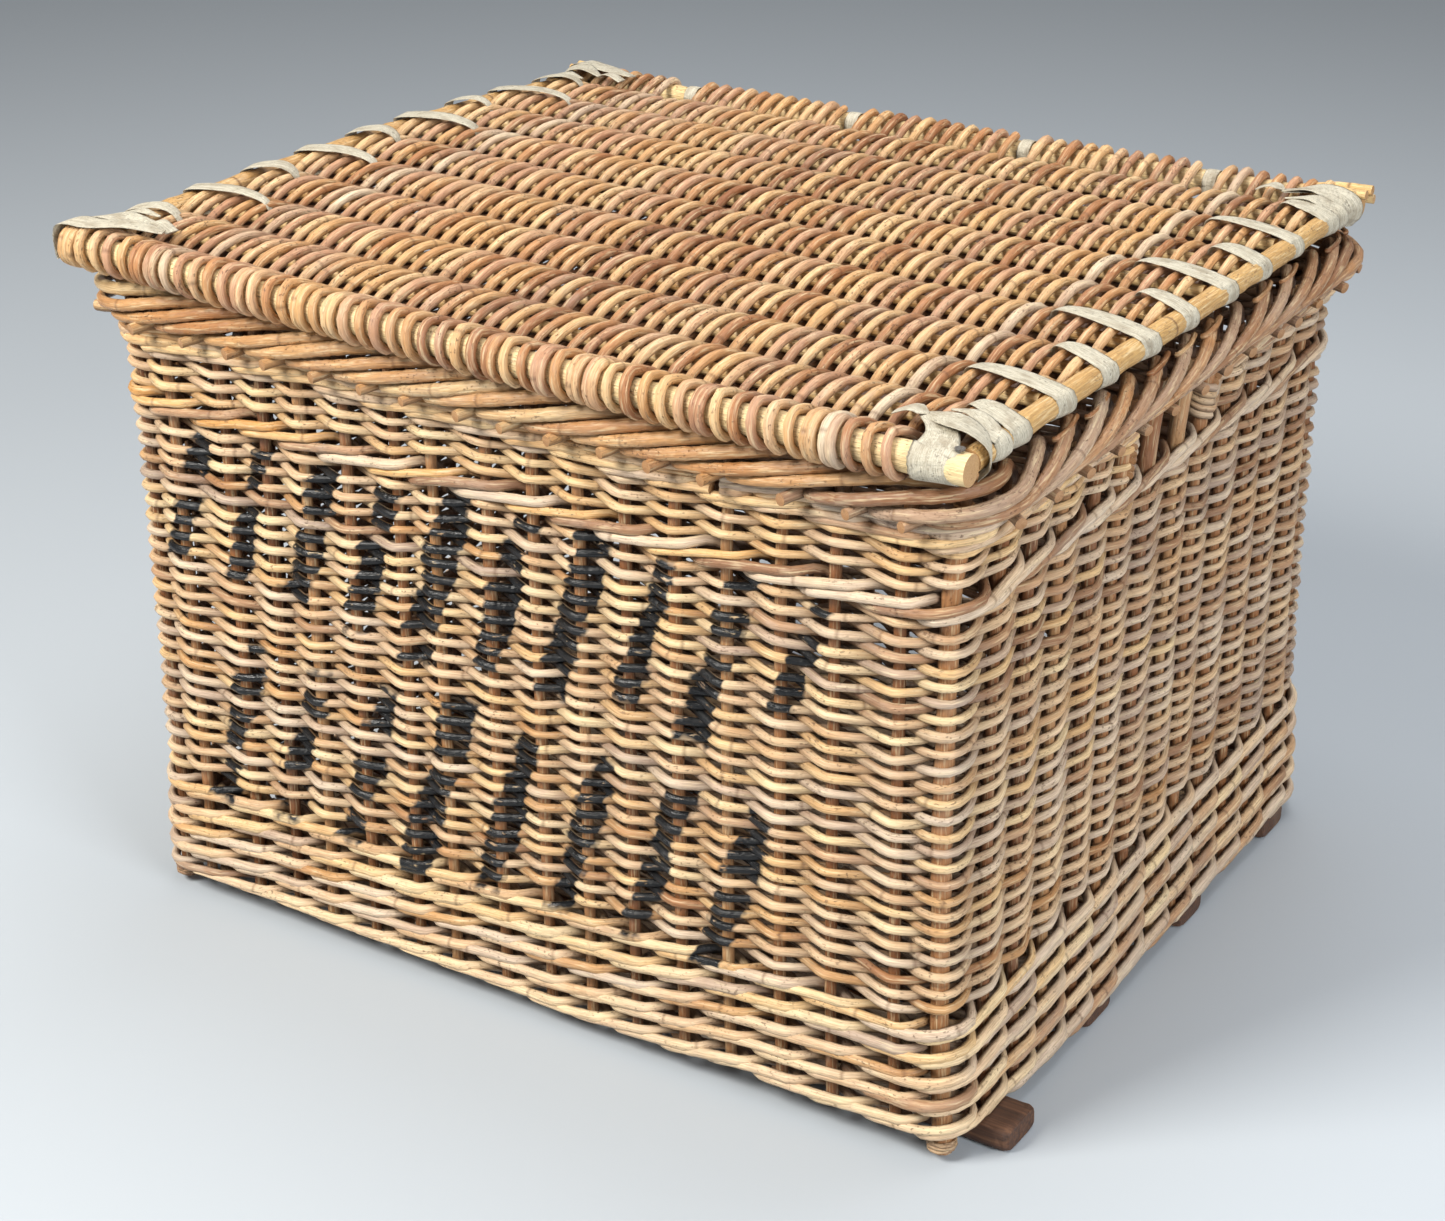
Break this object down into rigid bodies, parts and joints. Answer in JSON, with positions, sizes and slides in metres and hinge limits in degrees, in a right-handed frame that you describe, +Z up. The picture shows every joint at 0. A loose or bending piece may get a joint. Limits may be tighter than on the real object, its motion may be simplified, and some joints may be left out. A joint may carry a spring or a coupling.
{
  "type": "wicker storage trunk",
  "caption": "Rectangular woven cane trunk on wooden runners, with waled base, rolled border, a hand hole at each end and a ribbed woven lid laced along its back edge.",
  "frame": {"origin": "middle of the bounding box in X and Y, at the bottom of the runners", "axes": "+Z up, front towards -Y, length along X"},
  "size_m": [0.902, 0.7966, 0.6415],
  "materials": {
    "straw_cane": "satin",
    "orange_cane": "satin",
    "brown_stake": "satin",
    "dark_wood": "matte",
    "pale_rod": "satin",
    "split_cane": "satin",
    "nail_steel": "dull"
  },
  "bodies": {
    "basket": {"base_runner_1": "dark_wood", "base_runner_2": "dark_wood", "base_runner_3": "dark_wood", "base_runner_4": "dark_wood", "base_sticks": "brown_stake", "base_weave": "straw_cane", "stakes_front": "brown_stake", "stakes_back": "brown_stake", "stakes_left": "brown_stake", "stakes_right": "brown_stake", "corner_post_front_left": "pale_rod", "corner_post_front_right": "pale_rod", "corner_post_back_left": "pale_rod", "corner_post_back_right": "pale_rod", "corner_lashings": "split_cane", "bottom_wale": "straw_cane", "siding_front": "straw_cane", "siding_back": "straw_cane", "siding_left": "straw_cane", "siding_right": "straw_cane", "siding_corners": "straw_cane", "accent_wale": "orange_cane", "upper_siding_front": "straw_cane", "upper_siding_back": "straw_cane", "upper_siding_left": "straw_cane", "upper_siding_right": "straw_cane", "upper_siding_corners": "straw_cane", "rim_wale_front": "straw_cane", "rim_wale_back": "straw_cane", "border": "orange_cane", "hinge_ties": "split_cane"},
    "lid": {"lid_weave": "straw_cane", "lid_front_rod": "pale_rod", "lid_back_rod": "pale_rod", "lid_ribs": "pale_rod", "lid_end_stick_left": "pale_rod", "lid_end_stick_right": "pale_rod", "lid_bindings_left": "split_cane", "lid_bindings_right": "split_cane", "lid_straps_front": "split_cane", "lid_straps_back": "split_cane", "lid_corner_nail": "nail_steel"}
  },
  "joints": [
    {"name": "lid_hinge", "type": "hinge", "parent": "basket", "child": "lid", "pos_m": [0, 0.37162, 0.6215], "axis": [-1, 0, 0], "range_deg": [0, 190]}
  ]
}
